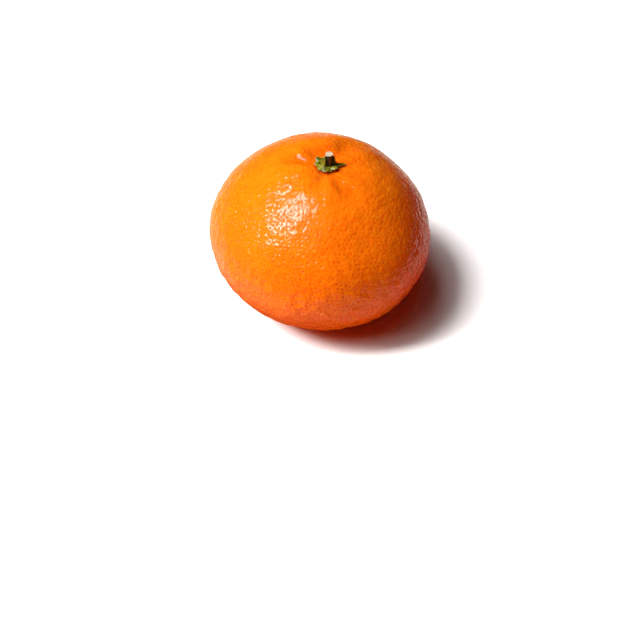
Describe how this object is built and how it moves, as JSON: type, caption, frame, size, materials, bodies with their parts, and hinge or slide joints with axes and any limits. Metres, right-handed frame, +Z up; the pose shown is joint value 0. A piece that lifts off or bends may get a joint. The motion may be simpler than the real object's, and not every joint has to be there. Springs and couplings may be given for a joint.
{
  "type": "mandarin",
  "caption": "Whole mandarin fruit as picked, with pitted rind, furrowed stem basin, green calyx and cut stem stub; rests on a small flat spot.",
  "frame": {"origin": "on the resting surface, under the middle of the fruit's bounding box", "axes": "+Z up, towards the stem end; -Y towards the front, +X to the right seen from the front"},
  "size_m": [0.0676, 0.0682, 0.0538],
  "materials": {
    "rind": "waxy, semi-gloss, pitted citrus peel",
    "calyx": "fleshy, slightly glossy green leaf tissue",
    "stem": "thin green-brown bark with a pale cut end"
  },
  "bodies": {
    "root": {"fruit": "rind", "calyx": "calyx", "stem": "stem"}
  },
  "joints": []
}
